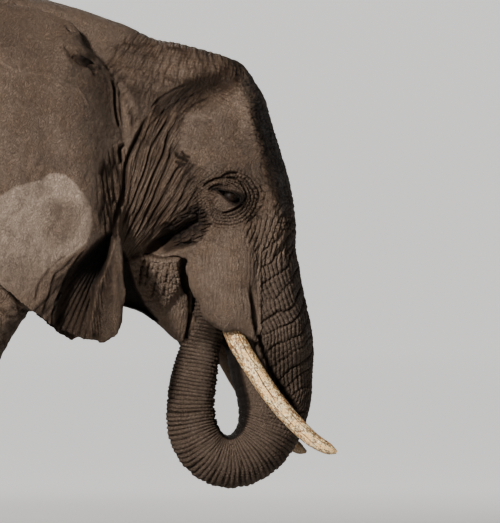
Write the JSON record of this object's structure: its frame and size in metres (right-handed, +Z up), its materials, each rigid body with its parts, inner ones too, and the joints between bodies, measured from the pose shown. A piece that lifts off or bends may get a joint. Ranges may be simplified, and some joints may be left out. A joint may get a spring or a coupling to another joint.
{
  "type": "african elephant",
  "caption": "Life-size still model of a standing African elephant cow: head, ears and tusks, trunk curled up to the mouth, body, legs with nails, and tufted tail.",
  "frame": {"origin": "on the ground, at the middle of the overall box along and across the body", "axes": "+X the way she faces, +Y to her left, +Z up"},
  "size_m": [3.4067, 1.2638, 2.5423],
  "materials": {
    "skin": "dry, deeply wrinkled grey-brown hide with dust, mottled lighter and darker",
    "ivory": "worn cream ivory with brown stains and fine long cracks",
    "nail": "dull worn horn",
    "eye": "wet dark brown eye",
    "hair": "coarse black bristles"
  },
  "bodies": {
    "root": {"torso": "skin", "neck": "skin", "head": "skin", "lower_jaw": "skin", "trunk_upper": "skin", "trunk_middle": "skin", "trunk_bend": "skin", "trunk_end": "skin", "ear_left": "skin", "ear_right": "skin", "foreleg_left": "skin", "foreleg_right": "skin", "hindleg_left": "skin", "hindleg_right": "skin", "tail": "skin", "tail_tuft": "hair", "eye_left": "eye", "eye_right": "eye", "tusk_left": "ivory", "tusk_right": "ivory", "nail_foreleg_left_1": "nail", "nail_foreleg_left_2": "nail", "nail_foreleg_left_3": "nail", "nail_foreleg_left_4": "nail", "nail_foreleg_right_1": "nail", "nail_foreleg_right_2": "nail", "nail_foreleg_right_3": "nail", "nail_foreleg_right_4": "nail", "nail_hindleg_left_1": "nail", "nail_hindleg_left_2": "nail", "nail_hindleg_left_3": "nail", "nail_hindleg_right_1": "nail", "nail_hindleg_right_2": "nail", "nail_hindleg_right_3": "nail"}
  },
  "joints": []
}
